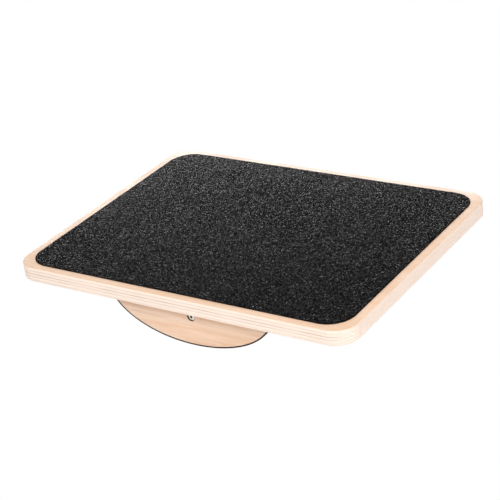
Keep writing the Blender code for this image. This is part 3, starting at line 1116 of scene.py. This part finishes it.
def placeTree():
    # one copy of the pattern at each point, its Z along the point's "way", spun about it at random
    tree = bpy.data.node_groups.new("setFasteners", "GeometryNodeTree")
    face = tree.interface
    face.new_socket("Geometry", in_out="INPUT", socket_type="NodeSocketGeometry")
    face.new_socket("Pattern", in_out="INPUT", socket_type="NodeSocketObject")
    face.new_socket("Spin", in_out="INPUT", socket_type="NodeSocketFloat")
    face.new_socket("Seed", in_out="INPUT", socket_type="NodeSocketInt")
    face.new_socket("Material", in_out="INPUT", socket_type="NodeSocketMaterial")
    face.new_socket("Geometry", in_out="OUTPUT", socket_type="NodeSocketGeometry")
    inn = addNode(tree, "NodeGroupInput", (-900, 0)).outputs
    leave = addNode(tree, "NodeGroupOutput", (900, 0))
    pattern = addNode(tree, "GeometryNodeObjectInfo", (-600, 200))
    tree.links.new(inn["Pattern"], pattern.inputs["Object"])
    marked = markRecess(tree, pattern.outputs["Geometry"], recessZone)
    way = addNode(tree, "GeometryNodeInputNamedAttribute", (-600, -100), data_type="FLOAT_VECTOR")
    way.inputs["Name"].default_value = "way"
    aim = addNode(tree, "FunctionNodeAlignRotationToVector", (-400, -100), axis="Z")
    tree.links.new(way.outputs["Attribute"], aim.inputs["Vector"])
    chance = addNode(tree, "FunctionNodeRandomValue", (-600, -350), data_type="FLOAT")
    tree.links.new(inn["Seed"], chance.inputs["Seed"])
    angle = mathNode(tree, (-400, -350), "MULTIPLY", chance.outputs[1], inn["Spin"])
    twist = addNode(tree, "ShaderNodeCombineXYZ", (-200, -350))
    tree.links.new(angle, twist.inputs["Z"])
    turned = addNode(tree, "FunctionNodeRotateRotation", (-100, -150), rotation_space="LOCAL")
    tree.links.new(aim.outputs[0], turned.inputs[0])
    tree.links.new(twist.outputs[0], turned.inputs[1])
    copies = addNode(tree, "GeometryNodeInstanceOnPoints", (150, 0))
    tree.links.new(inn["Geometry"], copies.inputs["Points"])
    tree.links.new(marked, copies.inputs["Instance"])
    tree.links.new(turned.outputs[0], copies.inputs["Rotation"])
    whole = addNode(tree, "GeometryNodeRealizeInstances", (400, 0))
    tree.links.new(copies.outputs[0], whole.inputs[0])
    coat = addNode(tree, "GeometryNodeSetMaterial", (650, 0))
    tree.links.new(whole.outputs[0], coat.inputs["Geometry"])
    tree.links.new(inn["Material"], coat.inputs["Material"])
    tree.links.new(coat.outputs[0], leave.inputs[0])
    return tree


def setFasteners(name, spots, pattern, material, spin, seed):
    mesh = bpy.data.meshes.new(name)
    mesh.from_pydata([head for head, way in spots], [], [])
    ways = mesh.attributes.new("way", "FLOAT_VECTOR", "POINT")
    for item, (head, way) in zip(ways.data, spots):
        item.vector = way
    piece = meshObject(name, mesh, material)
    modifier = piece.modifiers.new("setFasteners", "NODES")
    modifier.node_group = fastenerTree
    setInputs(modifier, {"Pattern": pattern, "Spin": spin, "Seed": seed, "Material": material})
    applyModifiers(piece)
    bpy.data.objects.remove(pattern)
    softShade(piece.data, 32)
    return piece


fastenerTree = placeTree()
fullTurn = 2 * math.pi

deckHead = countersunkHead(0.0040, 0.0020, 0.0004)
deckThread = {"radius": 0.0019, "length": 0.0380, "pitch": 0.0018}
deckScrewPattern = makeScrewPattern("deckScrewPattern", deckHead, deckThread, screwShape)
deckScrewSpots = fastenerSpots(deckScrewNodes)
deckScrews = setFasteners("deckScrews", deckScrewSpots, deckScrewPattern, screwSteel, fullTurn, 3)
settle(deckScrews, "root", "screw_steel", *deckScrewNodes)

railHead = domedHead(0.0040, 0.0022, 0.0022, 0.0004, 8)
railThread = {"radius": 0.0021, "length": 0.0460, "pitch": 0.0020}
railScrewPattern = makeScrewPattern("railScrewPattern", railHead, railThread, screwShape)
railScrews = setFasteners("railScrews", fastenerSpots(railScrewNodes), railScrewPattern, screwSteel, 0.7, 5)
settle(railScrews, "root", "screw_steel", *railScrewNodes)


dowelShape = {"flutes": 16, "fluteDepth": 0.0002, "chamfer": 0.0009, "radius": 0.0040, "length": 0.0300}


def makeDowelPattern(setup):
    # a fluted pin, its outer end at the origin and its length going down
    shape = bmesh.new()
    steps = setup["flutes"] * 4
    radius, length, chamfer = setup["radius"], setup["length"], setup["chamfer"]
    rings = []
    for inset, z in ((chamfer, 0.0), (0.0, -chamfer), (0.0, chamfer - length), (chamfer, -length)):
        ring = []
        for i in range(steps):
            turn = 2 * math.pi * i / steps
            flute = setup["fluteDepth"] * (0.5 + 0.5 * math.cos(setup["flutes"] * turn))
            r = radius - inset - flute
            ring.append(shape.verts.new((r * math.cos(turn), r * math.sin(turn), z)))
        rings.append(ring)
    for upper, lower in zip(rings, rings[1:]):
        bridge(shape, upper, lower, steps)
    shape.faces.new(rings[0])
    shape.faces.new(rings[-1])
    return meshObject("dowelPattern", finishBmesh(shape, "dowelPattern"), dowelWood)


dowelPattern = makeDowelPattern(dowelShape)
dowels = setFasteners("dowelPins", fastenerSpots(dowelNodes), dowelPattern, dowelWood, fullTurn, 7)
settle(dowels, "root", "dowel_beech", *dowelNodes)
